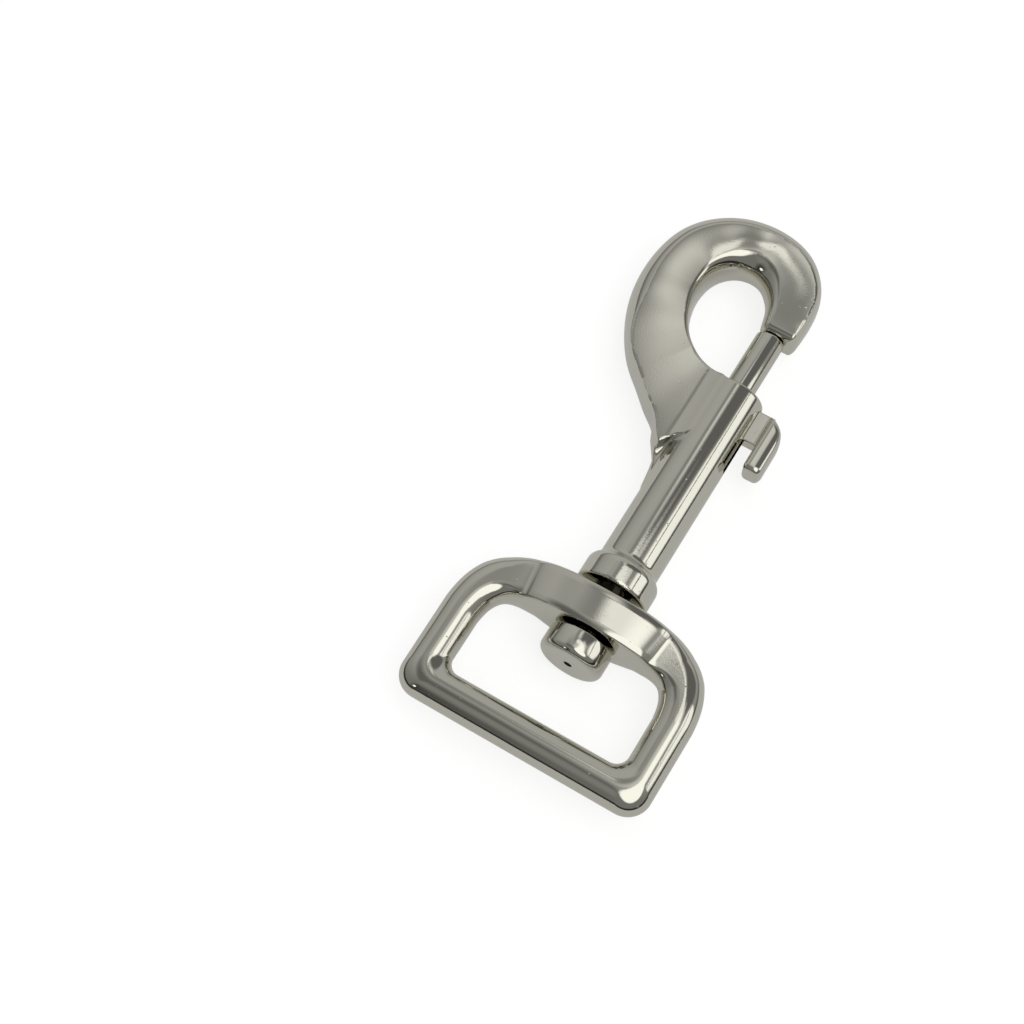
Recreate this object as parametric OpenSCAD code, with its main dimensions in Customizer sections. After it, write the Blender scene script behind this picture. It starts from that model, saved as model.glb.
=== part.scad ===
// Swivel snap hook with a spring bolt, lying flat. +Y runs along the swivel axis from the
// strap bar to the crown, +X points to the thumb tab and +Z is up. The origin is the middle
// of the strap bar, on the swivel axis. All sizes are in millimetres.

/* [Strap loop] */
// Width of the webbing that the loop takes
strap_w = 25; // [20:0.5:32]
// Clear height between the strap bar and the hub
strap_gap = 12.25; // [9:0.25:18]
// Width of the strap bar and of the two sides, in the plane of the loop
bar_w = 5.15; // [4:0.05:6]
// Thickness of the bars
bar_t = 4.8; // [4:0.1:5.6]
// Radius inside the two corners at the strap bar
corner_in = 1.8; // [1:0.1:3]
// Radius outside the two corners at the strap bar
corner_out = 3.2; // [2:0.1:4]
// Length of the hub along the swivel axis
hub_l = 6.35; // [5:0.05:8]
// Thickness of the hub at the swivel axis
hub_t = 9.3; // [8.6:0.1:10]

/* [Swivel stud] */
// Diameter of the shank that the loop turns on
shank_d = 4.8; // [4.4:0.1:5.4]
// Diameter of the head
head_d = 8.7; // [7.5:0.1:10]
// Length of the head
head_l = 3.5; // [2.5:0.1:4]
// How far the shank is pressed into the collar
shank_grip = 5.6; // [4:0.1:8]

/* [Barrel] */
// Outside diameter of the barrel
barrel_d = 8.1; // [7.7:0.1:9]
// Length from the foot of the collar to the mouth
barrel_l = 33.15; // [30:0.5:40]
// Diameter of the collar
collar_d = 9.95; // [9.25:0.1:11]
// Length of the collar
collar_l = 4.2; // [3:0.1:6]

/* [Bolt] */
// Diameter of the bolt
bolt_d = 4.05; // [3.5:0.05:4.4]
// Length of the bolt
bolt_l = 19; // [17:0.5:21]
// How far the bolt draws back
bolt_travel = 5.2; // [3:0.1:6]
// Chamfer on the tip of the bolt
bolt_chamfer = 0.35; // [0.1:0.05:0.6]

/* [Thumb tab] */
// Height of the tab's neck along the barrel
neck_h = 4.8; // [3.5:0.1:5.5]
// Thickness of the neck
neck_t = 1.8; // [1.4:0.1:2.2]
// How far the neck reaches past the middle of the bolt
neck_root = 0.8; // [0.4:0.1:1.2]
// How far the pad stands clear of the barrel
pad_clear = 1.75; // [1.5:0.05:3]
// Height of the pad along the barrel
pad_h = 8.45; // [7:0.05:10]
// Width of the pad, out from the barrel
pad_w = 2.9; // [2:0.05:3.4]
// Thickness of the pad
pad_t = 3.7; // [3:0.1:4.4]

/* [Hook] */
// Gap between the barrel's mouth and the nose, which the bolt closes
gate = 9.8; // [8.5:0.1:11]
// How far the eye reaches from the swivel axis
eye_reach = 11.35; // [9:0.05:14]
// Height of the eye above the barrel's mouth
eye_h = 16.45; // [14:0.05:20]
// Width of the band at the nose
nose_w = 5.2; // [4.6:0.1:6]
// Width of the band over the crown
crown_w = 8.3; // [7:0.1:10]
// Width of the band down the back
back_w = 8.55; // [7:0.05:10]
// Thickness at the nose
nose_t = 4.7; // [4:0.1:6]
// Thickness at the crown
crown_t = 7.5; // [6:0.1:8.5]
// Thickness of the web where it runs into the barrel
web_t = 6; // [5:0.1:7]
// Thickness of the thin rib under the web
rib_t = 2.4; // [1.6:0.1:3.6]

/* [Spring] */
// Wire diameter
wire_d = 0.45; // [0.3:0.05:0.6]
// Number of turns
turns = 13; // [8:1:16]

/* [Fits] */
// Gap round the bolt in its bore
bolt_fit = 0.075; // [0.03:0.005:0.095]
// Gap round the shank in the hub
shank_fit = 0.08; // [0.03:0.005:0.095]
// Gap round the neck in its slot
slot_fit = 0.1; // [0.05:0.01:0.2]
// Gap between the hub and the collar
hub_gap = 0.5; // [0.3:0.05:0.8]
// Gap between the hub and the stud's head
head_gap = 0.4; // [0.2:0.05:0.6]
// Gap between the bolt's tip and the nose
tip_gap = 0.15; // [0.1:0.05:0.3]
// Gap between the spring and what it pushes on or runs in
spring_fit = 0.08; // [0.05:0.01:0.15]

/* [Hidden] */
$fn = 64;

// Places along the swivel axis, from the strap bar to the nose
hub_foot = bar_w / 2 + strap_gap;
hub_top = hub_foot + hub_l;
collar_foot = hub_top + hub_gap;
collar_top = collar_foot + collar_l;
mouth = collar_foot + barrel_l;
nose_y = mouth + gate;
shank_end = collar_foot + shank_grip;
head_top = hub_foot - head_gap;
bolt_tip = nose_y - tip_gap;
bolt_foot = bolt_tip - bolt_l;

// The slot ends a little under the mouth, and its length follows the neck and the travel
rim = 0.8;
slot_top = mouth - rim;
neck_top = slot_top - slot_fit;
neck_foot = neck_top - neck_h;
slot_foot = neck_foot - bolt_travel - slot_fit;
pad_drop = 0.2; // how far the pad's top lies under the neck's
pad_top = neck_top - pad_drop;

bore_r = bolt_d / 2 + bolt_fit;
barrel_r = barrel_d / 2;
cut = 1; // how far a cutting tool runs past the face that it opens

nickel = [0.72, 0.71, 0.67];
steel = [0.55, 0.56, 0.58];

// A point of a smooth curve through a, b, c and d, a share t of the way from b to c
function between(a, b, c, d, t) =
    b + (c - a) * t / 2
    + (2 * a - 5 * b + 4 * c - d) * t * t / 2
    + (3 * b - a - 3 * c + d) * t * t * t / 2;

// Rows of numbers, made n times finer along a smooth curve. The first and last only steer it.
function finer(rows, n) = [
    for (i = [1 : len(rows) - 3], k = [0 : n - 1])
        between(rows[i - 1], rows[i], rows[i + 1], rows[i + 2], k / n),
    rows[len(rows) - 2]
];

// A band's section: flat front and back, with an elliptical edge on the inner and outer side.
// It is w wide, front thick above its middle plane and back thick below it.
function section(w, front, back, edge_in, edge_out) = let (step = 22.5) [
    for (a = [0 : step : 90]) [edge_in * (1 - cos(a)), front * sin(a)],
    for (a = [90 : -step : 0]) [w - edge_out * (1 - cos(a)), front * sin(a)],
    for (a = [step : step : 90]) [w - edge_out * (1 - cos(a)), -back * sin(a)],
    for (a = [90 : -step : step]) [edge_in * (1 - cos(a)), -back * sin(a)]
];

// A section set up on the line from an inner point, at an angle in the plane of the band.
// A row is [x, y, angle, width, front, back, inner edge, outer edge].
function ring(r) = [
    for (p = section(r[3], r[4], r[5], r[6], r[7]))
        [r[0] + p.x * cos(r[2]), r[1] + p.x * sin(r[2]), p.y]
];

// A skin through rings of equal length. An open one is closed by its first and last ring.
module skin(rings, closed = false) {
    n = len(rings[0]);
    m = len(rings);
    last = closed ? m - 1 : m - 2;
    sides = [
        for (i = [0 : last], k = [0 : n - 1])
            let (a = i * n + k, b = i * n + (k + 1) % n)
            let (c = ((i + 1) % m) * n + (k + 1) % n, d = ((i + 1) % m) * n + k)
            each [[a, b, c], [a, c, d]]
    ];
    caps = closed ? [] : [
        [for (k = [n - 1 : -1 : 0]) k],
        [for (k = [0 : n - 1]) (m - 1) * n + k]
    ];
    polyhedron([for (r = rings) each r], concat(sides, caps), convexity = 8);
}

// A round bar or hole along the swivel axis
module along(r, from, to) {
    translate([0, from, 0]) rotate([-90, 0, 0]) cylinder(r = r, h = to - from);
}

// A turned shape along the swivel axis, from a profile of radius and length
module turned(from) {
    translate([0, from, 0]) rotate([-90, 0, 0]) rotate_extrude() children();
}

nose_bevel = 0.4; // round the nose's end

// The inner edge of the eye, from the nose over the crown to the barrel. Each row is the
// share of eye_reach, the share of eye_h, and the way that the band lies, in degrees.
eye_line = [
    [0.163, (gate + nose_bevel) / eye_h, 0],
    [0.195, 0.691, 13.5],
    [0.242, 0.806, 26.6],
    [0.320, 0.893, 39.7],
    [0.420, 0.961, 58],
    [0.529, 0.996, 74],
    [0.638, 1.000, 90.5],
    [0.758, 0.981, 108],
    [0.866, 0.929, 125],
    [0.946, 0.850, 147],
    [0.992, 0.745, 165],
    [1.000, 0.612, 179],
    [0.968, 0.478, 194],
    [0.904, 0.349, 212],
    [0.806, 0.238, 226],
    [0.670, 0.145, 238],
    [0.496, 0.073, 247],
    [0.305, 0.038, 250],
    [0.138, 0, 254.5]
];

// What the band measures at each angle: its width, half its thickness and its two edges
function band_w(a) = lookup(a, [
    [0, nose_w], [13.5, 1.145 * nose_w], [26.6, 1.33 * nose_w], [39.7, 0.94 * crown_w],
    [58, crown_w], [108, 1.01 * crown_w], [125, 1.025 * crown_w], [147, 1.012 * back_w],
    [165, back_w], [179, 0.995 * back_w], [212, 1.01 * back_w], [238, 1.04 * back_w],
    [247, 1.14 * back_w], [250, 1.29 * back_w], [254.5, 1.54 * back_w]
]);
function band_h(a) = lookup(a, [
    [0, nose_t], [40, (nose_t + crown_t) / 2], [91, crown_t], [125, crown_t],
    [194, 0.95 * crown_t], [250, web_t], [254.5, web_t]
]) / 2;
function edge_in(a) = crown_t * lookup(a, [
    [0, 0.13], [27, 0.19], [59, 0.32], [91, 0.36], [125, 0.24], [165, 0.15], [212, 0.09], [254.5, 0.06]
]);
function edge_out(a) = crown_t * lookup(a, [
    [0, 0.08], [27, 0.09], [59, 0.21], [91, 0.32], [194, 0.29], [212, 0.16], [226, 0.07], [254.5, 0.04]
]);

function arm_row(p) = let (a = p[2]) [
    -p[0] * eye_reach, mouth + p[1] * eye_h, a,
    band_w(a), band_h(a), band_h(a), edge_in(a), edge_out(a)
];

// The arm's last ring runs down inside the barrel: how deep, how long and at what angle
heel_in = 0.1;
heel_w = 10.7;
heel_angle = 259;

// The curved arm, from the nose round the crown and down the back into the web. Its last
// ring lies inside the barrel, so that the web runs out into the barrel's side.
module arm() {
    rows = [for (p = eye_line) arm_row(p)];
    ends = len(rows) - 1;
    steer_first = 2 * rows[0] - rows[1];
    steer_last = 2 * rows[ends] - rows[ends - 1];
    end = rows[ends];
    heel = [-heel_in, mouth - heel_in, heel_angle, heel_w, end[4], end[5], end[6], end[7]];
    tip = rows[0] + nose_bevel * [1, -1, 0, -2, -1, -1, 0, 0];
    path = concat([tip], finer(concat([steer_first], rows, [steer_last]), 3), [heel]);
    skin([for (i = [len(path) - 1 : -1 : 0]) ring(path[i])]);
}

// The edge of the rib under the web. Each point is how far it stands out from the barrel's
// side, and how far it lies under the mouth.
rib_line = [[2.3, 11.05], [1.6, 12.15], [1.05, 13.2], [0.65, 14.4], [0.35, 15.6], [0.1, 16.8], [-0.2, 18]];
rib_root = [[-2, 18], [-2, 9.5], [1.5, 9.5]];

// The thin rib that carries the web's foot down the barrel to nothing
module rib() {
    linear_extrude(rib_t, center = true)
        polygon([for (p = concat(rib_line, rib_root)) [-barrel_r - p.x, mouth - p.y]]);
}

// The barrel's outside, with its collar at the foot and a small bevel round the mouth
module barrel() {
    bevel = 0.5;
    collar();
    turned(collar_foot + collar_l / 2) {
        top = mouth - collar_foot - collar_l / 2;
        polygon([[0, 0], [barrel_r, 0], [barrel_r, top - bevel], [barrel_r - bevel, top], [0, top]]);
    }
}

module collar() {
    shoulder = 1.5;
    foot_edge = 0.25;
    r = collar_d / 2;
    turned(collar_foot) {
        polygon([[0, 0], [r - foot_edge, 0], [r, foot_edge], [r, collar_l - shoulder],
            [r - shoulder, collar_l - shoulder], [r - shoulder, collar_l], [0, collar_l]]);
        translate([r - shoulder, collar_l - shoulder]) circle(shoulder);
    }
}

// One casting: the hook's arm and web, the barrel and the collar, bored from its foot
module hook_body() {
    color(nickel) difference() {
        union() {
            arm();
            rib();
            barrel();
        }
        along(bore_r, shank_end - cut, mouth + cut);
        along(shank_d / 2, collar_foot - cut, shank_end);
        translate([0, slot_foot, -neck_t / 2 - slot_fit])
            cube([barrel_d, slot_top - slot_foot, neck_t + 2 * slot_fit]);
    }
}

// The bolt, with the cross slot that the tab's neck is staked into
module bolt() {
    r = bolt_d / 2;
    color(nickel) difference() {
        turned(bolt_foot) polygon([
            [0, 0], [r - bolt_chamfer, 0], [r, bolt_chamfer], [r, bolt_l - bolt_chamfer],
            [r - bolt_chamfer, bolt_l], [0, bolt_l]
        ]);
        translate([-neck_root, neck_foot, -neck_t / 2]) cube([bolt_d, neck_h, neck_t]);
    }
}

// The pad's outline seen from the front, with round corners at its foot. Its outer side is
// straight at first and then bows over to a point at the top.
function pad_line() = let (inner = 0.7, outer = 1, bow_h = 4, tip = 75) [
    for (a = [180 : 22.5 : 270]) [inner + inner * cos(a), inner + inner * sin(a)],
    for (a = [-90 : 22.5 : 0]) [pad_w - outer + outer * cos(a), outer + outer * sin(a)],
    for (a = [0 : 12.5 : tip])
        [pad_w * (cos(a) - cos(tip)) / (1 - cos(tip)), pad_h - bow_h + bow_h * sin(a) / sin(tip)]
];

// The thumb tab: a pad on a flat neck that slides in the barrel's slot
module thumb_tab() {
    pad_x = barrel_r + pad_clear;
    pad_foot = pad_top - pad_h;
    dome_r = 3.4;
    overlap = 0.3;
    color(nickel) union() {
        translate([-neck_root, neck_foot, -neck_t / 2])
            cube([neck_root + pad_x + overlap, neck_h, neck_t]);
        intersection() {
            translate([pad_x, pad_foot, -pad_t / 2]) linear_extrude(pad_t) polygon(pad_line());
            translate([pad_x + pad_w - dome_r, 0, 0]) along(dome_r, pad_foot - cut, pad_top + cut);
        }
    }
}

// The stud: a headed pin through the hub, pressed into the collar to close the bore
module swivel_stud() {
    edge = 1;
    dimple = 0.45;
    r = head_d / 2;
    color(nickel) difference() {
        union() {
            along(shank_d / 2, head_top - head_l / 2, shank_end);
            turned(head_top - head_l) {
                translate([0, edge]) square([r, head_l - edge]);
                square([r - edge, edge + 0.1]);
                translate([r - edge, edge]) circle(edge);
            }
        }
        turned(head_top - head_l) polygon([[0, -cut], [dimple + cut, -cut], [0, dimple]]);
    }
}

// The spring that drives the bolt home, between the stud and the bolt
module spring() {
    coil_r = bore_r - spring_fit - wire_d / 2;
    foot = shank_end + spring_fit + wire_d / 2;
    length = bolt_foot - spring_fit - wire_d / 2 - foot;
    per_turn = 12;
    sides = 6;
    color(steel) skin([
        for (i = [0 : turns * per_turn])
            let (turn = 360 * i / per_turn, y = foot + length * i / (turns * per_turn))
            [for (k = [0 : sides - 1])
                let (a = -360 * k / sides, r = coil_r + wire_d / 2 * cos(a))
                [r * cos(turn), y + wire_d / 2 * sin(a), r * sin(turn)]]
    ]);
}

// The arch of the loop, from the swivel axis to the top of its right side. Each row is the
// share of half the strap's width, the drop under the hub's foot, and the band's angle.
arch_line = [
    [0, 0, 90],
    [0.28, 0, 90],
    [0.53, 0, 87],
    [0.65, 0.06, 84],
    [0.736, 0.15, 80],
    [0.856, 0.65, 63],
    [0.932, 1.65, 43],
    [0.976, 3, 26],
    [1, 4.8, 9]
];

// Half the thickness across the loop: a boss over the swivel axis, falling to the bars.
// It is an ellipse at power 0.5, which ends in a crease, and a flatter lens at power 1.
function boss(x, span, power) =
    (bar_t + (hub_t - bar_t) * pow(max(0, 1 - pow(x / span, 2)), power)) / 2;

function arch_row(p) =
    let (x = p[0] * strap_w / 2, a = p[2])
    let (w = lookup(a, [[9, bar_w + 0.1], [43, bar_w + 0.7], [63, bar_w + 0.75],
        [80, hub_l - 0.15], [90, hub_l]]))
    [
        x, hub_foot - p[1], a, w,
        boss(x, 0.69 * strap_w / 2, 0.5), boss(x, 0.56 * strap_w / 2, 1),
        lookup(a, [[26, w / 2], [43, 2.3], [63, 1.5], [80, 0.8], [87, 0.5]]),
        lookup(a, [[26, w / 2], [43, 2.6], [63, 2.2], [80, 1.3], [90, 0.9]])
    ];

// A row at a bottom corner, where the inner and the outer arc have their own radii
function corner_row(a) =
    let (xi = strap_w / 2 - corner_in * (1 - cos(a)))
    let (yi = bar_w / 2 + corner_in * (1 - sin(a)))
    let (xo = strap_w / 2 + bar_w - corner_out * (1 - cos(a)))
    let (yo = -bar_w / 2 + corner_out * (1 - sin(a)))
    let (w = norm([xo - xi, yo - yi]))
    [xi, yi, atan2(yo - yi, xo - xi), w, bar_t / 2, bar_t / 2, w / 2, w / 2];

// A row on the other side of the swivel axis
function mirrored(r) = [-r[0], r[1], 180 - r[2], r[3], r[4], r[5], r[6], r[7]];

// The strap loop: a casting that turns on the stud, with a bar for 25 mm webbing
module strap_loop() {
    arch = [for (p = arch_line) arch_row(p)];
    top = len(arch) - 1;
    steer = 2 * arch[top] - arch[top - 1];
    right = concat(
        finer(concat([mirrored(arch[1])], arch, [steer]), 3),
        [for (a = [0 : 15 : 90]) corner_row(a)]
    );
    left = [for (i = [len(right) - 1 : -1 : 1]) mirrored(right[i])];
    color(nickel) difference() {
        skin([for (r = concat(right, left)) ring(r)], closed = true);
        along(shank_d / 2 + shank_fit, hub_foot - 2 * cut, hub_top + cut);
    }
}

hook_body();
bolt();
thumb_tab();
spring();
swivel_stud();
strap_loop();
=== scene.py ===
import bpy
import numpy as np
from mathutils import Matrix, Vector


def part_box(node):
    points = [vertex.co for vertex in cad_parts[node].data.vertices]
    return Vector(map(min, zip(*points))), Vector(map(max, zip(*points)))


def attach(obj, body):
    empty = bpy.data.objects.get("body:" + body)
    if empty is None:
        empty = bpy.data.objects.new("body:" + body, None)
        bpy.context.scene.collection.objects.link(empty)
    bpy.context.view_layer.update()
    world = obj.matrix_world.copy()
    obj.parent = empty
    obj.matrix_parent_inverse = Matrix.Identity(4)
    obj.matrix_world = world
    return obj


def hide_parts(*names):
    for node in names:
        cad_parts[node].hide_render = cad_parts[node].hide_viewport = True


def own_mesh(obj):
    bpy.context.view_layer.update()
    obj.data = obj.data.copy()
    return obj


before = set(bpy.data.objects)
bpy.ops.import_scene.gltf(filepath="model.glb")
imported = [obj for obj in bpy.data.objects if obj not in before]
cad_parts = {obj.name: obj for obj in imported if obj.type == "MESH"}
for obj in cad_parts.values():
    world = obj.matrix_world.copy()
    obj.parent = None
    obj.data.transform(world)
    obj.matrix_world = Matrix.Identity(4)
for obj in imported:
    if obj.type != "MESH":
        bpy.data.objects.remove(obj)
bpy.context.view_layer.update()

MM = 0.001


# The hook: one zinc casting of nose, crown, curved arm, web, barrel and collar. The web runs
# into the barrel in a cast fillet. The whole is tumbled, polished and nickel plated, then
# bored from its foot and slotted at its right side.

def smooth_min(a, b, reach):
    """The lesser of two distances, with a fillet of about this reach where they are close."""
    h = np.maximum(reach - np.abs(a - b), 0) / reach
    return np.minimum(a, b) - h * h * reach / 4


def smooth_max(a, b, reach):
    """The greater of two distances, with a rounded edge where they are close."""
    return -smooth_min(-a, -b, reach)


def turned_distance(x, y, z, radius, foot, top, round_foot, round_top):
    """How far a point is outside a round bar along Y: in the plane of its radius and its
    length the bar is a rectangle, whose foot and top corners have their own roundings."""
    out = np.sqrt(x * x + z * z)
    middle, half = (foot + top) / 2, (top - foot) / 2
    corner = np.where(y > middle, round_top, round_foot)
    q, p = out - radius + corner, np.abs(y - middle) - half + corner
    return np.minimum(np.maximum(q, p), 0) + np.hypot(np.maximum(q, 0), np.maximum(p, 0)) - corner


def outline_distance(x, y, outline):
    """How far a point is outside a closed outline: the least distance to its sides, negative
    where a ray along X crosses an odd number of them."""
    far, inside = np.full(x.shape, np.inf), np.zeros(x.shape, bool)
    for a, b in zip(outline, np.roll(outline, -1, axis=0)):
        dx, dy = b - a
        t = np.clip(((x - a[0]) * dx + (y - a[1]) * dy) / (dx * dx + dy * dy), 0, 1)
        far = np.minimum(far, np.hypot(x - a[0] - t * dx, y - a[1] - t * dy))
        if dy:
            inside ^= ((a[1] > y) != (b[1] > y)) & (x < a[0] + (y - a[1]) * dx / dy)
    return np.where(inside, -far, far)


def bends(rows):
    """The second slopes of a natural cubic curve through rows, which at() needs."""
    n = len(rows)
    matrix = np.eye(n)
    for i in range(1, n - 1):
        matrix[i, i - 1:i + 2] = 1 / 6, 4 / 6, 1 / 6
    right = np.zeros_like(rows)
    right[1:-1] = rows[2:] - 2 * rows[1:-1] + rows[:-2]
    return np.linalg.solve(matrix, right)


def at(rows, second, s):
    """The rows at place s, a count of rows from the first: a cubic between each two rows whose
    slope and bend run on from one stretch to the next."""
    i = np.clip(np.floor(s).astype(int), 0, len(rows) - 2)
    t = (s - i)[..., None]
    u = 1 - t
    return u * rows[i] + t * rows[i + 1] + ((u ** 3 - u) * second[i] + (t ** 3 - t) * second[i + 1]) / 6


def skin(field, low, high, pitch):
    """The points and faces of the surface where a field of distances is zero. Each cell of
    a grid that the surface crosses holds one point, the mean of the crossings on its edges, and
    each crossed edge joins the four cells round it. The points then move down the field's
    slope onto the surface."""
    low, high = np.asarray(low, float), np.asarray(high, float)
    n = np.ceil((high - low) / pitch).astype(int) + 1
    gx, gy, gz = (low[k] + pitch * np.arange(n[k]) for k in range(3))
    value = field(gx[:, None, None], gy[None, :, None], gz[None, None, :])
    value = np.broadcast_to(value, n).copy()
    cells = n - 1
    place, count = np.zeros((*cells, 3)), np.zeros(cells)
    for axis in range(3):
        for near in (0, 1):
            for far in (0, 1):
                at_b, at_c = (axis + 1) % 3, (axis + 2) % 3
                first = [slice(0, cells[k]) for k in range(3)]
                first[at_b] = slice(near, near + cells[at_b])
                first[at_c] = slice(far, far + cells[at_c])
                second = list(first)
                second[axis] = slice(1, 1 + cells[axis])
                a, b = value[tuple(first)], value[tuple(second)]
                hit = (a < 0) != (b < 0)
                share = np.where(hit, a / np.where(hit, a - b, 1), 0)
                place[..., axis] += share
                place[..., at_b] += hit * near
                place[..., at_c] += hit * far
                count += hit
    used = count > 0
    number = np.full(cells, -1)
    number[used] = np.arange(used.sum())
    points = low + pitch * (np.argwhere(used) + place[used] / count[used][:, None])
    faces = []
    for axis in range(3):
        at_b, at_c = (axis + 1) % 3, (axis + 2) % 3
        inner = [slice(1, n[k] - 1) for k in range(3)]
        inner[axis] = slice(0, cells[axis])
        start, end = list(inner), list(inner)
        end[axis] = slice(1, n[axis])
        a, b = value[tuple(start)] < 0, value[tuple(end)] < 0
        spot = np.argwhere(a != b) + [0 if k == axis else 1 for k in range(3)]
        ring = []
        for db, dc in ((1, 1), (0, 1), (0, 0), (1, 0)):
            cell = spot.copy()
            cell[:, at_b] -= db
            cell[:, at_c] -= dc
            ring.append(number[tuple(cell.T)])
        ring = np.stack(ring, 1)
        rising = a[a != b]
        faces.append(np.where(rising[:, None], ring, ring[:, ::-1]))
    step = pitch / 20
    for _ in range(2):
        x, y, z = points.T
        here = field(x, y, z)
        slope = np.stack([
            field(x + step, y, z) - here, field(x, y + step, z) - here, field(x, y, z + step) - here
        ], 1) / step
        move = here / np.maximum((slope ** 2).sum(1), 0.3)
        points = points - slope * np.clip(move, -pitch / 2, pitch / 2)[:, None]
    return points, np.concatenate(faces).tolist()


def soften(mesh, sharp):
    """Shades a mesh smooth, but for edges past this many degrees."""
    mesh.shade_smooth()
    mesh.set_sharp_from_angle(angle=np.radians(sharp))


def piece(name, points, faces, sharp=50):
    """A mesh object in the scene, from points in millimetres and lists of corners."""
    mesh = bpy.data.meshes.new(name)
    mesh.from_pydata((points * MM).tolist(), [], faces)
    mesh.validate()
    soften(mesh, sharp)
    obj = bpy.data.objects.new(name, mesh)
    bpy.context.scene.collection.objects.link(obj)
    return obj


def revolved(profile, sides):
    """Points and faces of a profile of radius and place along Y, carried round that axis, with
    its first and last points on the axis."""
    profile = np.asarray(profile, float)
    turn = np.linspace(0, 2 * np.pi, sides, endpoint=False)
    r, y = profile[1:-1, 0][:, None], profile[1:-1, 1][:, None]
    rings = np.stack([r * np.sin(turn), y + 0 * turn, r * np.cos(turn)], -1).reshape(-1, 3)
    points = np.concatenate([rings, [[0, profile[0, 1], 0], [0, profile[-1, 1], 0]]])
    m = len(profile) - 2
    i, k = np.meshgrid(np.arange(m - 1), np.arange(sides), indexing="ij")
    a, b = i * sides + k, i * sides + (k + 1) % sides
    quads = np.stack([a, b, b + sides, a + sides], -1).reshape(-1, 4).tolist()
    k = np.arange(sides)
    foot = np.stack([np.full(sides, m * sides), (k + 1) % sides, k], -1).tolist()
    last = (m - 1) * sides
    top = np.stack([np.full(sides, m * sides + 1), last + k, last + (k + 1) % sides], -1).tolist()
    return points, quads + foot + top


def arc(centre, radius, start, end, steps):
    """Points on an arc, from one angle in degrees to another."""
    a = np.radians(np.linspace(start, end, steps + 1))
    return [(centre[0] + radius * np.cos(t), centre[1] + radius * np.sin(t)) for t in a]


def cut(obj, *cutters, sharp=50):
    """Takes the cutters out of a closed piece and deletes them."""
    for cutter in cutters:
        tool = obj.modifiers.new("cut", "BOOLEAN")
        tool.object, tool.operation, tool.solver = cutter, "DIFFERENCE", "MANIFOLD"
    bpy.context.view_layer.update()
    done = bpy.data.meshes.new_from_object(obj.evaluated_get(bpy.context.evaluated_depsgraph_get()))
    obj.modifiers.clear()
    obj.data = done
    for cutter in cutters:
        bpy.data.objects.remove(cutter)
    soften(done, sharp)


def turned_piece(name, profile, sides=128, sharp=50):
    """A turned piece along the swivel axis, as a mesh object."""
    return piece(name, *revolved(profile, sides), sharp)


def in_mm(node):
    """A CAD node's two corners in millimetres."""
    low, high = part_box(node)
    return np.array(low) / MM, np.array(high) / MM


hook_low, hook_high = in_mm("hook_body")
stud_low, stud_high = in_mm("swivel_stud")
collar_foot, collar_r, collar_l = hook_low[1], -hook_low[2], 4.2
collar_edge, collar_shoulder = 0.25, 1.5
mouth, gate = collar_foot + 33.15, 9.8
barrel_r, barrel_edge, bore_r, bore_flare = 4.05, 0.4, 2.1, 0.22
shank_end, shank_r = stud_high[1], 2.4
slot_foot, slot_top, slot_half = 43.85, mouth - 0.8, 1.0
eye_reach, eye_h = 11.35, 16.45
nose_y, nose_round = mouth + gate, 0.45
nose_t, crown_t, web_t = 4.7, 7.5, 6.0
heel_x, heel_y, heel_slope, heel_round = -5.25, 41.9, 56, 0.15
ridge = 0.36

# The inner edge of the eye from the nose round to the barrel: shares of its reach and height,
# the band's angle in degrees, and the band's width.
eye_line = np.array([
    [0.163, gate / eye_h, 0, 5.2],
    [0.195, 0.691, 13.5, 5.95],
    [0.242, 0.806, 26.6, 6.92],
    [0.320, 0.893, 39.7, 7.8],
    [0.420, 0.961, 58, 8.3],
    [0.529, 0.996, 74, 8.34],
    [0.638, 1.000, 90.5, 8.36],
    [0.758, 0.981, 108, 8.38],
    [0.866, 0.929, 125, 8.51],
    [0.946, 0.850, 147, 8.65],
    [0.992, 0.745, 165, 8.55],
    [1.000, 0.612, 179, 8.51],
    [0.968, 0.478, 194, 8.57],
    [0.904, 0.349, 212, 8.64],
    [0.806, 0.238, 226, 8.77],
    [0.670, 0.145, 238, 8.89],
    [0.496, 0.073, 247, 9.75],
    [0.305, 0.038, 250, 11.03],
    [0.138, 0, 254.5, 13.17],
    [0.011, -0.024, 254.5, 13.17],
    [-0.117, -0.048, 254.5, 13.17],
    [-0.244, -0.072, 254.5, 13.17],
])
angles = eye_line[:, 2]

# Half the band's thickness and its two rounded edges, by the band's angle in degrees.
half_t = np.interp(angles, [0, 40, 91, 125, 194, 250],
                   [nose_t, 6.1, crown_t, crown_t, 0.95 * crown_t, web_t]) / 2
edge_in = crown_t * np.interp(angles, [0, 27, 59, 91, 125, 165, 212, 254.5],
                              [0.13, 0.19, 0.32, 0.36, 0.24, 0.15, 0.09, 0.06])
edge_out = crown_t * np.interp(angles, [0, 27, 59, 91, 194, 212, 226, 254.5],
                               [0.08, 0.09, 0.21, 0.32, 0.29, 0.16, 0.07, 0.04])
arm_rows = np.stack([
    -eye_line[:, 0] * eye_reach, mouth + eye_line[:, 1] * eye_h, np.radians(angles), eye_line[:, 3],
    half_t, edge_in, edge_out
], 1)
arm_bends = bends(arm_rows)


def across(s, x, y):
    """The band at place s, and how far a point is ahead of its line and along that line."""
    row = at(arm_rows, arm_bends, s)
    dx, dy, c, d = x - row[..., 0], y - row[..., 1], np.cos(row[..., 2]), np.sin(row[..., 2])
    return row, c * dy - d * dx, c * dx + d * dy


def ahead_nose(x, y):
    """How far a point near the nose is ahead of its square end; 1 for points away from it."""
    return np.where(x > arm_rows[0, 0] - 3, y - nose_y, 1)


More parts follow.
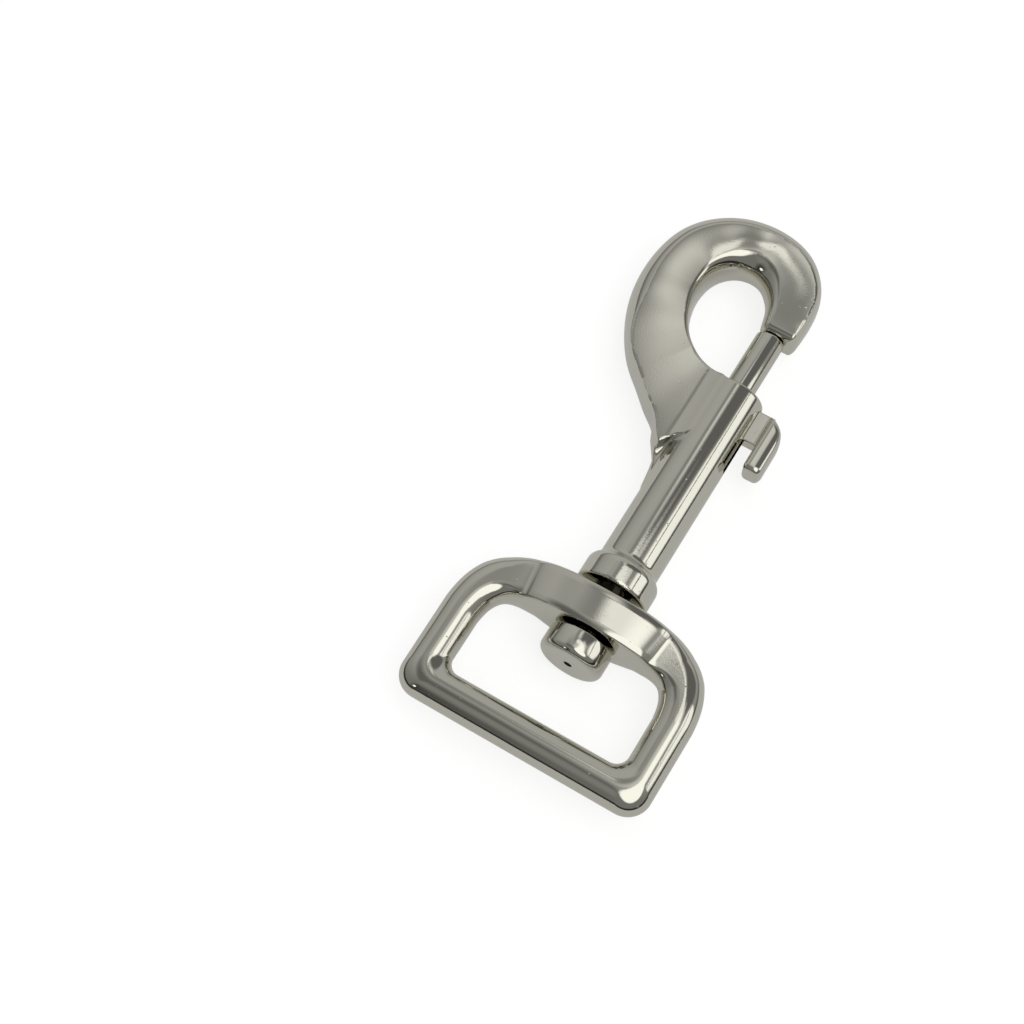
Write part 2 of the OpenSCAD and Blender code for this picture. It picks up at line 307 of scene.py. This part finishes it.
def arm_place(x, y):
    """For points of the plane, the band's row there, how far across the band they are, and
    which of them lie past its ends. The place is where a point changes from ahead of the
    band's line to behind it. It is bracketed on coarse lines, then found by chords."""
    stops = np.linspace(0, len(arm_rows) - 1, 6 * (len(arm_rows) - 1) + 1)
    row, ahead, along = across(stops, x[:, None], y[:, None])
    outside = np.maximum(np.maximum(-along, along - row[..., 3]), 0)
    found = (ahead[:, :-1] >= 0) & (ahead[:, 1:] < 0)
    score = np.where(found, outside[:, :-1], np.inf)
    first = score.argmin(1)
    lost = ~found[np.arange(len(x)), first]
    low, high = stops[first], stops[first + 1]
    for _ in range(3):
        ahead_low, ahead_high = across(low, x, y)[1], across(high, x, y)[1]
        gap = ahead_low - ahead_high
        s = low + (high - low) * np.clip(ahead_low / np.where(lost | (gap == 0), 1, gap), 0, 1)
        before = across(s, x, y)[1] >= 0
        low, high = np.where(before, s, low), np.where(before, high, s)
        near = 0.02 * (stops[1] - stops[0])
        low, high = np.maximum(low, s - near), np.minimum(high, s + near)
    row, ahead, along = across(s, x, y)
    before_nose = lost & (ahead_nose(x, y) < 0)
    row[before_nose] = arm_rows[0]
    along[before_nose] = (x - arm_rows[0, 0])[before_nose]
    s = np.where(before_nose, -1, s)
    return row, along, s, lost & ~before_nose


fall_place, fall_share, fall_power = [0, 3, 6, 11, 15], [0.06, 0.13, 0.17, 0.13, 0.03], 1.6
web_start, clear = 14, 5


def arm_distance(x, y, z):
    """How far a point is outside the arm. Across the band the section falls a little from its
    outer ridge to its inner edge, where it ends in a quarter ellipse. Outside the ridge it
    ends in the lower part of one, so it slopes from the ridge on. The nose is cut square, and
    the heel is cut on a slope where the web ends against the barrel."""
    flat_x, flat_y = (v.ravel() for v in np.broadcast_arrays(x, y))
    parts = [arm_place(flat_x[i:i + 20000], flat_y[i:i + 20000]) for i in range(0, flat_x.size, 20000)]
    row, along, s, lost = (np.concatenate([p[k] for p in parts]) for k in range(4))
    shape = np.broadcast(x, y).shape
    along, s, lost = along.reshape(shape), s.reshape(shape), lost.reshape(shape)
    width, half, e_in, e_out = (row[:, k].reshape(shape) for k in range(3, 7))
    inner, outer = (e_in - along) / e_in, (along - width + e_out) / e_out
    u = np.maximum(np.maximum(inner, outer), 0)
    edge = np.where(inner > outer, e_in, e_out)
    fall = np.interp(s, fall_place, fall_share)
    half = half * (1 - fall * np.clip(1 - along / (width - e_out), 0, 1) ** fall_power)
    start = np.where((outer > inner) & (outer > 0), ridge, 0)
    u, v = start + (1 - start) * u, np.abs(z) * np.sqrt(1 - start ** 2) / half
    r = np.sqrt(u * u + v * v + 1e-9)
    slope = np.hypot(u * (1 - start) / edge, v * np.sqrt(1 - start ** 2) / half) / r
    body = (r - 1) / np.maximum(slope, 0.1)
    body = smooth_max(body, np.where(s < 2, nose_y - y, -clear), 2 * nose_round)
    a = np.radians(heel_slope)
    heel = (x - heel_x) * np.sin(a) - (y - heel_y) * np.cos(a)
    body = smooth_max(body, np.where(s > web_start, heel, -clear), heel_round)
    return np.where(lost, clear, body)


# The rib that runs down the barrel from the heel: how far it stands off the barrel, and how
# far it is below the mouth.
rib_half, rib_round = 1.2, 0.6
rib_line = np.array([
    [2.3, 11.05], [1.6, 12.15], [1.05, 13.2], [0.65, 14.4], [0.35, 15.6], [0.1, 16.8], [-0.2, 18]
])
rib_edge = at(rib_line, bends(rib_line), np.linspace(0, len(rib_line) - 1, 25))
rib_edge = np.concatenate([rib_edge, [[-2, 18], [-2, 9.5], [1.5, 9.5]]])
rib_outline = np.stack([-barrel_r - rib_edge[:, 0], mouth - rib_edge[:, 1]], 1)
collar_fillet, rib_fillet, arm_fillet, least_fillet = 0.5, 0.9, 1.4, 0.1


def hook_distance(x, y, z):
    """How far a point is outside the whole casting, before it is bored and slotted."""
    barrel = turned_distance(x, y, z, barrel_r, collar_foot + 1, mouth, barrel_edge, barrel_edge)
    collar = turned_distance(
        x, y, z, collar_r, collar_foot, collar_foot + collar_l, collar_edge, collar_shoulder
    )
    flat_x, flat_y = np.broadcast_arrays(x, y)
    rib = smooth_max(outline_distance(flat_x, flat_y, rib_outline), np.abs(z) - rib_half, rib_round)
    stem = smooth_min(smooth_min(barrel, collar, collar_fillet), rib, rib_fillet)
    return smooth_min(stem, arm_distance(x, y, z), np.clip(-x - 1, least_fillet, arm_fillet))


pitch = 0.19
points, faces = skin(hook_distance, hook_low - 3 * pitch, hook_high + 3 * pitch, pitch)
hook = piece("hook", points, faces)

bore = turned_piece("bore", [
    (0, collar_foot - 1), (shank_r, collar_foot - 1), (shank_r, shank_end), (bore_r, shank_end),
    (bore_r, mouth - bore_flare), (bore_r + bore_flare, mouth + 0.001),
    (bore_r + bore_flare, mouth + 1), (0, mouth + 1)
])


def block(name, low, high):
    """A box between two corners in millimetres."""
    low, high = np.array(low, float), np.array(high, float)
    corners = np.array([[i, j, k] for i in (0, 1) for j in (0, 1) for k in (0, 1)])
    sides = [[0, 1, 3, 2], [4, 6, 7, 5], [0, 4, 5, 1], [2, 3, 7, 6], [0, 2, 6, 4], [1, 5, 7, 3]]
    return piece(name, low + corners * (high - low), sides, sharp=30)


slot = block("slot", (0, slot_foot, -slot_half), (barrel_r + 1, slot_top, slot_half))
cut(hook, bore, slot, sharp=40)


def add(tree, kind, feeds=None, **settings):
    """Adds a shader node with its settings, and feeds its inputs, by name or number, with
    values or with other nodes' outputs."""
    node = tree.nodes.new("ShaderNode" + kind)
    for name, value in settings.items():
        setattr(node, name, value)
    for socket, value in (feeds or {}).items():
        if isinstance(value, bpy.types.NodeSocket):
            tree.links.new(value, node.inputs[socket])
        else:
            node.inputs[socket].default_value = value
    return node


def nickel(name, seed, grain=1.0):
    """Polished nickel plate: warm grey metal whose gloss wanders a little, over the slight
    waves of a hand-polished casting, its fine grain and a few tiny pits."""
    made = bpy.data.materials.new(name)
    made.use_nodes = True
    tree = made.node_tree
    shader = tree.nodes["Principled BSDF"]
    shader.inputs["Metallic"].default_value = 1
    shader.inputs["Base Color"].default_value = (0.67, 0.655, 0.57, 1)
    metal = add(tree, "TexCoord").outputs["Object"]
    spot = add(tree, "Mapping", {"Vector": metal, "Location": (seed, 2 * seed, 3 * seed)}).outputs[0]

    def noise(scale, detail):
        """A pattern from 0 to 1 with about this many grains to the metre."""
        return add(tree, "TexNoise", {"Vector": spot, "Scale": scale, "Detail": detail}).outputs["Fac"]

    def spread(value, low, high, to_low, to_high):
        """A pattern's stretch from low to high, carried to another stretch and cut off there."""
        return add(tree, "MapRange", {
            "Value": value, "From Min": low, "From Max": high, "To Min": to_low, "To Max": to_high
        }).outputs["Result"]

    waves, crystals, pits = noise(110, 1), noise(5000, 2), spread(noise(1300, 2), 0.8, 0.72, 0, 1)
    wave_h, crystal_h, pit_h = 0.03, 0.002 * grain, 0.02 * grain
    feeds = {}
    for height, depth in ((waves, wave_h), (crystals, crystal_h), (pits, pit_h)):
        bump = add(tree, "Bump", {"Distance": depth * MM, "Height": height, **feeds})
        feeds = {"Normal": bump.outputs["Normal"]}
    tree.links.new(bump.outputs["Normal"], shader.inputs["Normal"])
    tree.links.new(spread(noise(900, 3), 0.35, 0.7, 0.02, 0.06), shader.inputs["Roughness"])
    return made


def dress(obj, body, node, finish):
    """Gives a piece its finish, and ties it to the CAD body and node it stands for."""
    obj.data.materials.clear()
    obj.data.materials.append(finish)
    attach(obj, body)
    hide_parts(node)


dress(hook, "hook", "hook_body", nickel("nickel on the hook", 0.0))


# The bolt: a turned steel pin with a small rounded edge at each end, polished and plated. It
# slides in the bore, and its cross slot is filled by the tab's neck.

bolt_low, bolt_high = in_mm("bolt")
bolt_r, bolt_edge = 2.025, 0.35
bolt = turned_piece("bolt_pin", [
    (0, bolt_low[1]), (bolt_r - bolt_edge, bolt_low[1]),
    *arc((bolt_r - bolt_edge, bolt_low[1] + bolt_edge), bolt_edge, -80, 0, 6),
    *arc((bolt_r - bolt_edge, bolt_high[1] - bolt_edge), bolt_edge, 0, 80, 6),
    (bolt_r - bolt_edge, bolt_high[1]), (0, bolt_high[1])
])
dress(bolt, "bolt", "bolt", nickel("nickel on the bolt", 0.3))


# The thumb tab: a small casting, a thumb pad with a round outer face on a flat neck. The neck
# goes through the barrel's slot and is staked in the bolt.

tab_low, tab_high = in_mm("thumb_tab")
pad_w, pad_h, pad_half, pad_round, dome_r = 2.9, 8.45, 1.85, 0.8, 3.4
pad_thins, pad_heel, pad_toe = 0.1, 0.7, 1.0
neck_half, neck_h, neck_edge, neck_fillet = 0.9, 4.8, 0.15, 0.3
pad_x, pad_foot, neck_top = tab_high[0] - pad_w, tab_low[1], tab_high[1]
bow_h, bow_tip = 4.0, np.radians(75)
bow = np.radians(np.arange(0, 76, 7.5))
pad_outline = np.array([
    *arc((pad_x + pad_heel, pad_foot + pad_heel), pad_heel, 180, 270, 6),
    *arc((pad_x + pad_w - pad_toe, pad_foot + pad_toe), pad_toe, -90, 0, 8),
    *np.stack([
        pad_x + pad_w * (np.cos(bow) - np.cos(bow_tip)) / (1 - np.cos(bow_tip)),
        pad_foot + pad_h - bow_h + bow_h * np.sin(bow) / np.sin(bow_tip)
    ], 1)
])


def tab_distance(x, y, z):
    """How far a point is outside the tab: the pad's outline carried through its thickness and
    rounded by a cylinder, joined to the neck in a small fillet."""
    flat_x, flat_y = np.broadcast_arrays(x, y)
    side = np.abs(z) - pad_half + pad_thins * np.clip((x - pad_x) / pad_w, 0, 1) ** 2
    pad = smooth_max(outline_distance(flat_x, flat_y, pad_outline), side, pad_round)
    pad = smooth_max(pad, np.hypot(x - pad_x - pad_w + dome_r, z) - dome_r, pad_round)
    neck = np.maximum(tab_low[0] - x, x - pad_x - 0.5)
    neck = np.maximum(neck, np.abs(y - neck_top + neck_h / 2) - neck_h / 2)
    neck = smooth_max(neck, np.abs(z) - neck_half, neck_edge)
    return smooth_min(pad, neck, neck_fillet)


pitch = 0.08
points, faces = skin(tab_distance, tab_low - 3 * pitch, tab_high + 3 * pitch, pitch)
tab = piece("thumb_pad", points, faces)
dress(tab, "bolt", "thumb_tab", nickel("nickel on the tab", 0.6))


# The spring: bright drawn wire wound in a compression coil, shut in the bore between the stud and the
# bolt. The real one shortens as the bolt draws back; this piece keeps its length.

spring_low, spring_high = in_mm("spring")
wire_r, turns, per_turn, sides = 0.225, 13, 48, 12
steps = turns * per_turn
coil_r = spring_high[0] - wire_r
turn = np.linspace(0, 2 * np.pi * turns, steps + 1)[:, None]
round_wire = np.linspace(0, -2 * np.pi, sides, endpoint=False)
spring_y = np.linspace(spring_low[1] + wire_r, spring_high[1] - wire_r, steps + 1)[:, None]
reach = coil_r + wire_r * np.cos(round_wire)
points = np.stack([
    reach * np.cos(turn), spring_y + wire_r * np.sin(round_wire), reach * np.sin(turn)
], -1).reshape(-1, 3)
i, k = np.meshgrid(np.arange(steps), np.arange(sides), indexing="ij")
a, b = i * sides + k, i * sides + (k + 1) % sides
faces = np.stack([a + sides, b + sides, b, a], -1).reshape(-1, 4).tolist()
faces += [list(range(sides)), list(range(len(points) - sides, len(points)))[::-1]]
spring = piece("coil_spring", points, faces)
steel = nickel("spring wire", 0.9, grain=0.5)
steel.node_tree.nodes["Principled BSDF"].inputs["Base Color"].default_value = (0.5, 0.5, 0.5, 1)
dress(spring, "hook", "spring", steel)
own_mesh(spring)


# The swivel stud: a turned pin with a round-edged head, which keeps the loop on and is pressed
# into the collar. A centre punch has left a dimple in the head's end.

head_r, head_l, head_foot, head_edge, head_top_edge = 4.35, 3.5, stud_low[1], 1.0, 0.2
dimple_r, dimple_l = 0.6, 0.5
head_top = head_foot + head_l
stud = turned_piece("swivel_pin", [
    (0, head_foot + dimple_l), (0.7 * dimple_r, head_foot + 0.7 * dimple_l), (dimple_r, head_foot),
    (head_r - head_edge - 0.6, head_foot),
    *arc((head_r - head_edge, head_foot + head_edge), head_edge, -90, 0, 12),
    *arc((head_r - head_top_edge, head_top - head_top_edge), head_top_edge, 0, 90, 4),
    (shank_r, head_top), (shank_r, shank_end), (0, shank_end)
])


def paint_gap_shade(finish, reach, foot):
    """Paints shade into the metal's colour within a reach of the axis, above a foot: that is painted
    shade on the shank in the gap under the collar and in the dimple, where shade falls."""
    tree = finish.node_tree
    shader = tree.nodes["Principled BSDF"]
    metal = add(tree, "TexCoord").outputs["Object"]
    off_axis = add(tree, "VectorMath", {0: metal, 1: (1, 0, 1)}, operation="MULTIPLY").outputs[0]
    radius = add(tree, "VectorMath", {0: off_axis}, operation="LENGTH").outputs["Value"]
    along = add(tree, "SeparateXYZ", {0: metal}).outputs["Y"]
    near = add(tree, "Math", {0: radius, 1: reach * MM}, operation="LESS_THAN").outputs[0]
    above = add(tree, "Math", {0: along, 1: foot * MM}, operation="GREATER_THAN").outputs[0]
    both = add(tree, "Math", {0: near, 1: above}, operation="MULTIPLY").outputs[0]
    shade_ramp = add(tree, "ValToRGB", {0: both})
    shade_ramp.color_ramp.elements[0].color = shader.inputs["Base Color"].default_value
    # painted shade: near black on the shank in the gap under the collar and in the dimple
    shade_ramp.color_ramp.elements[1].color = (0.03, 0.028, 0.025, 1)
    tree.links.new(shade_ramp.outputs[0], shader.inputs["Base Color"])
    return finish


# The stud's nickel, with painted shade on the shank in the gap under the collar and in the dimple.
stud_nickel = paint_gap_shade(nickel("nickel on the stud", 1.2), shank_r + 0.02, head_foot + 0.03)
dress(stud, "hook", "swivel_stud", stud_nickel)


# The strap loop: a zinc casting that turns on the stud, with a thick hub over the shank and a
# round bar for 25 mm webbing. It is polished and plated like the hook.

strap_half, bar_w, bar_t = 12.5, 5.15, 4.8
hub_foot, hub_l, hub_t, hub_play = 14.825, 6.35, 9.3, 0.08
front_reach, back_reach, cove = 0.69 * strap_half, 0.56 * strap_half, 0.005
corner_in, corner_out = 1.8, 3.2


def boss(x, span, power):
    """Half the loop's thickness: thick over the swivel axis, falling to the bar's at the span.
    At power 0.5 it is an ellipse, at power 1 a flatter lens; its foot runs out in a small cove."""
    inside = 1 - (x / span) ** 2
    inside = (inside + np.sqrt(inside ** 2 + cove)) / 2
    return (bar_t + (hub_t - bar_t) * inside ** power) / 2


# From the swivel axis to the top of the right side: shares of half the opening, the drop under
# the hub's foot, and the band's angle in degrees.
arch_line = np.array([
    [0, 0, 90], [0.28, 0, 90], [0.53, 0, 87], [0.65, 0.06, 84], [0.736, 0.15, 80], [0.856, 0.65, 63],
    [0.932, 1.65, 43], [0.976, 3, 26], [1, 4.8, 9]
])


def side_rows():
    """Rows of the loop's right half: inner x and y, outer x and y, front, back, two edges."""
    line = np.concatenate([arch_line[1:2] * [-1, 1, 1], arch_line]) * [strap_half, 1, 1]
    p = at(line, bends(line), np.linspace(1, len(line) - 1, 113))
    x, y, tilt, a = p[:, 0], hub_foot - p[:, 1], p[:, 2], np.radians(p[:, 2])
    w = np.interp(tilt, [9, 43, 63, 80, 90],
                  [bar_w + 0.1, bar_w + 0.7, bar_w + 0.75, hub_l - 0.15, hub_l])
    arch = np.stack([
        x, y, x + w * np.cos(a), y + w * np.sin(a),
        boss(x, front_reach, 0.5), boss(x, back_reach, 1),
        np.interp(tilt, [26, 43, 63, 80, 87], [2.5, 2.3, 1.5, 0.8, 0.5]),
        np.interp(tilt, [26, 43, 63, 80, 90], [2.55, 2.6, 2.2, 1.3, 0.9])
    ], 1)
    a = np.radians(np.linspace(0, 90, 31))
    corner = np.stack([
        strap_half - corner_in * (1 - np.cos(a)), bar_w / 2 + corner_in * (1 - np.sin(a)),
        strap_half + bar_w - corner_out * (1 - np.cos(a)), -bar_w / 2 + corner_out * (1 - np.sin(a)),
        0 * a + bar_t / 2, 0 * a + bar_t / 2, 0 * a + bar_w, 0 * a + bar_w
    ], 1)
    t = np.linspace(0, 1, 13)[1:-1, None]
    return np.concatenate([arch, arch[-1] * (1 - t) + corner[0] * t, corner])


right = side_rows()
t = np.linspace(0, 1, 31)[1:-1, None]
left = right[::-1] * [-1, 1, -1, 1, 1, 1, 1, 1]
rows = np.concatenate([right, right[-1] * (1 - t) + left[0] * t, left[:-1]])
quarter = np.radians(np.linspace(0, 90, 15))
flat = np.linspace(0, 1, 7)[1:-1]
inner, outer, front, back = rows[:, 0:2], rows[:, 2:4], rows[:, 4:5], rows[:, 5:6]
span = np.hypot(*(outer - inner).T)[:, None]
most_edge = 0.485 * span
e_in, e_out = np.minimum(rows[:, 6:7], most_edge), np.minimum(rows[:, 7:8], most_edge)

# Round one section: the inner edge's quarter ellipse, the flat, the outer edge's, and back
# along the other face.
over = np.concatenate([
    e_in * (1 - np.cos(quarter)), e_in + (span - e_in - e_out) * flat,
    span - e_out * (1 - np.cos(quarter[::-1]))
], 1)
lift = np.concatenate([np.sin(quarter), 0 * flat + 1, np.sin(quarter[::-1])])
over_band = (np.concatenate([over, over[:, -2:0:-1]], 1) / span)[..., None]
height = np.concatenate([front * lift, -(back * lift)[:, -2:0:-1]], 1)[..., None]
on_plan = inner[:, None] + (outer - inner)[:, None] * over_band
points = np.concatenate([on_plan, height], -1).reshape(-1, 3)
m, n = len(rows), over_band.shape[1]
i, k = np.meshgrid(np.arange(m), np.arange(n), indexing="ij")
a, b = i * n + k, i * n + (k + 1) % n
c, d = (i + 1) % m * n + (k + 1) % n, (i + 1) % m * n + k
loop = piece("webbing_loop", points, np.stack([d, c, b, a], -1).reshape(-1, 4).tolist())
hole_r, hole_foot, hole_top = shank_r + hub_play, hub_foot - 2, hub_foot + hub_l + 1
hole = turned_piece("hole", [
    (0, hole_foot), (hole_r, hole_foot), (hole_r, hole_top), (0, hole_top)
])
cut(loop, hole, sharp=40)
dress(loop, "loop", "strap_loop", nickel("nickel on the loop", 1.5))


# The studio: a white floor under the hook, lit evenly, which the camera and the metal see as
# white paper.

def paper(name, grey, to_camera, to_metal):
    """White paper: matt, with a glow of its own that only the camera and the metal see."""
    made = bpy.data.materials.new(name)
    made.use_nodes = True
    tree = made.node_tree
    tree.nodes.clear()
    path = add(tree, "LightPath").outputs
    glow = 0
    for ray, share in (("Camera", to_camera), ("Glossy", to_metal), ("Transmission", to_metal)):
        ray = path["Is " + ray + " Ray"]
        glow = add(tree, "Math", {0: ray, 1: share, 2: glow}, operation="MULTIPLY_ADD").outputs[0]
    matt = add(tree, "BsdfDiffuse", {"Color": (grey, grey, grey, 1)}).outputs[0]
    both = add(tree, "AddShader", {0: matt, 1: add(tree, "Emission", {"Strength": glow}).outputs[0]})
    add(tree, "OutputMaterial", {"Surface": both.outputs[0]})
    return made


floor_z, floor_reach, floor_deep = hook_low[2], 1500, 10
floor = block(
    "floor", (-floor_reach, -floor_reach, floor_z - floor_deep), (floor_reach, floor_reach, floor_z)
)
floor.data.materials.append(paper("white paper", 0.5, 0.775, 0.3))


# The light: an even grey room with soft boxes and dark flags hung round the hook, far enough
# off to be a world. The nickel shows hardly anything but these.

world = bpy.data.worlds.new("studio")
bpy.context.scene.world = world
world.use_nodes = True
room = world.node_tree
direction = add(room, "TexCoord").outputs["Generated"]


def hang(light, azimuth, elevation, roll, half_width, half_height, blur, strength):
    """Hangs one round panel over the light so far, facing the hook from an azimuth and an
    elevation. Its half sizes are in degrees too, and its edge blurs by a share of its size."""
    a, e, r, w, h = np.radians([azimuth, elevation, roll, half_width, half_height])
    middle = np.array([np.cos(e) * np.cos(a), np.cos(e) * np.sin(a), np.sin(e)])
    side = np.array([-np.sin(a), np.cos(a), 0])
    top = np.cross(middle, side)
    axes = np.cos(r) * side + np.sin(r) * top, np.cos(r) * top - np.sin(r) * side, middle
    spot = add(room, "Mapping", {
        "Vector": direction, "Location": middle, "Rotation": Matrix(np.stack(axes, 1)).to_euler(),
        "Scale": (np.sin(w), np.sin(h), 1)
    }, vector_type="TEXTURE").outputs[0]
    out = add(room, "VectorMath", {0: spot}, operation="LENGTH").outputs["Value"]
    edge = add(room, "MapRange", {
        "Value": out, "From Min": 1 + blur, "From Max": 1 - blur
    }, interpolation_type="SMOOTHSTEP").outputs["Result"]
    return add(room, "Mix", {"Factor": edge, "A": light, "B": strength}).outputs["Result"]


# The room goes dark towards the table: by the height of a direction's unit vector.
height = add(room, "SeparateXYZ", {0: direction}).outputs["Z"]
dusk = add(room, "MapRange", {
    "Value": height, "From Min": 0.25, "From Max": 0.16
}, interpolation_type="SMOOTHSTEP").outputs["Result"]
light = add(room, "Mix", {"Factor": dusk, "A": 0.22, "B": 0.03}).outputs["Result"]

# Azimuth, elevation, roll, half width, half height, blur, strength.
for panel in (
    (103, 43, 0, 79, 50, 0.6, 0.49),
    (205, 72, 0, 24, 13, 0.5, 0.15),
    (113, 63, 0, 7, 9, 0.6, 0.29),
    (94, 62.5, 0, 6.5, 4.5, 0.5, 0.78),
    (80, 76, 0, 8, 5, 0.6, 0.7),
    (248, 56, 4, 11, 18, 0.5, 0.27),
    (248, 20, 4, 11, 24, 0.6, 0.05),
    (244, 24, 0, 4.5, 5, 0.3, 1.5),
    (59, 46, -28, 15.5, 25, 0.2, 0.15),
    (68, 68.5, 19, 14.5, 2.0, 0.2, 1.1),
    (342, 66, 34, 29.7, 21.3, 0.12, 1.4),
    (25, 26, -9, 8, 19, 0.2, 1.25),
    (27, 34, 0, 10, 1.2, 0.4, 0.2),
):
    light = hang(light, *panel)
seen = add(room, "LightPath").outputs["Is Camera Ray"]
strength = add(room, "Math", {0: light, 1: seen}, operation="MAXIMUM").outputs[0]
background = room.nodes["Background"]
background.inputs["Color"].default_value = (1, 1, 1, 1)
room.links.new(strength, background.inputs["Strength"])


# The camera: a long lens from above the hook's foot, at the photograph's angle. It looks at a
# point beside the hook, which stands to the right in the picture.

aim = np.array([-16.593, 25.179, 0])
azimuth, elevation, distance, focal = np.radians(31), np.radians(65.4), 262.81, 72.07
behind = np.array([
    np.sin(azimuth) * np.cos(elevation), -np.cos(azimuth) * np.cos(elevation), np.sin(elevation)
])
camera = bpy.data.objects.new("camera", bpy.data.cameras.new("camera"))
bpy.context.scene.collection.objects.link(camera)
bpy.context.scene.camera = camera
camera.data.lens = focal
camera.data.clip_start = 0.01
camera.location = (aim + behind * distance) * MM
camera.rotation_euler = Vector(behind).to_track_quat("Z", "Y").to_euler()
bpy.context.scene.view_settings.view_transform = "Standard"
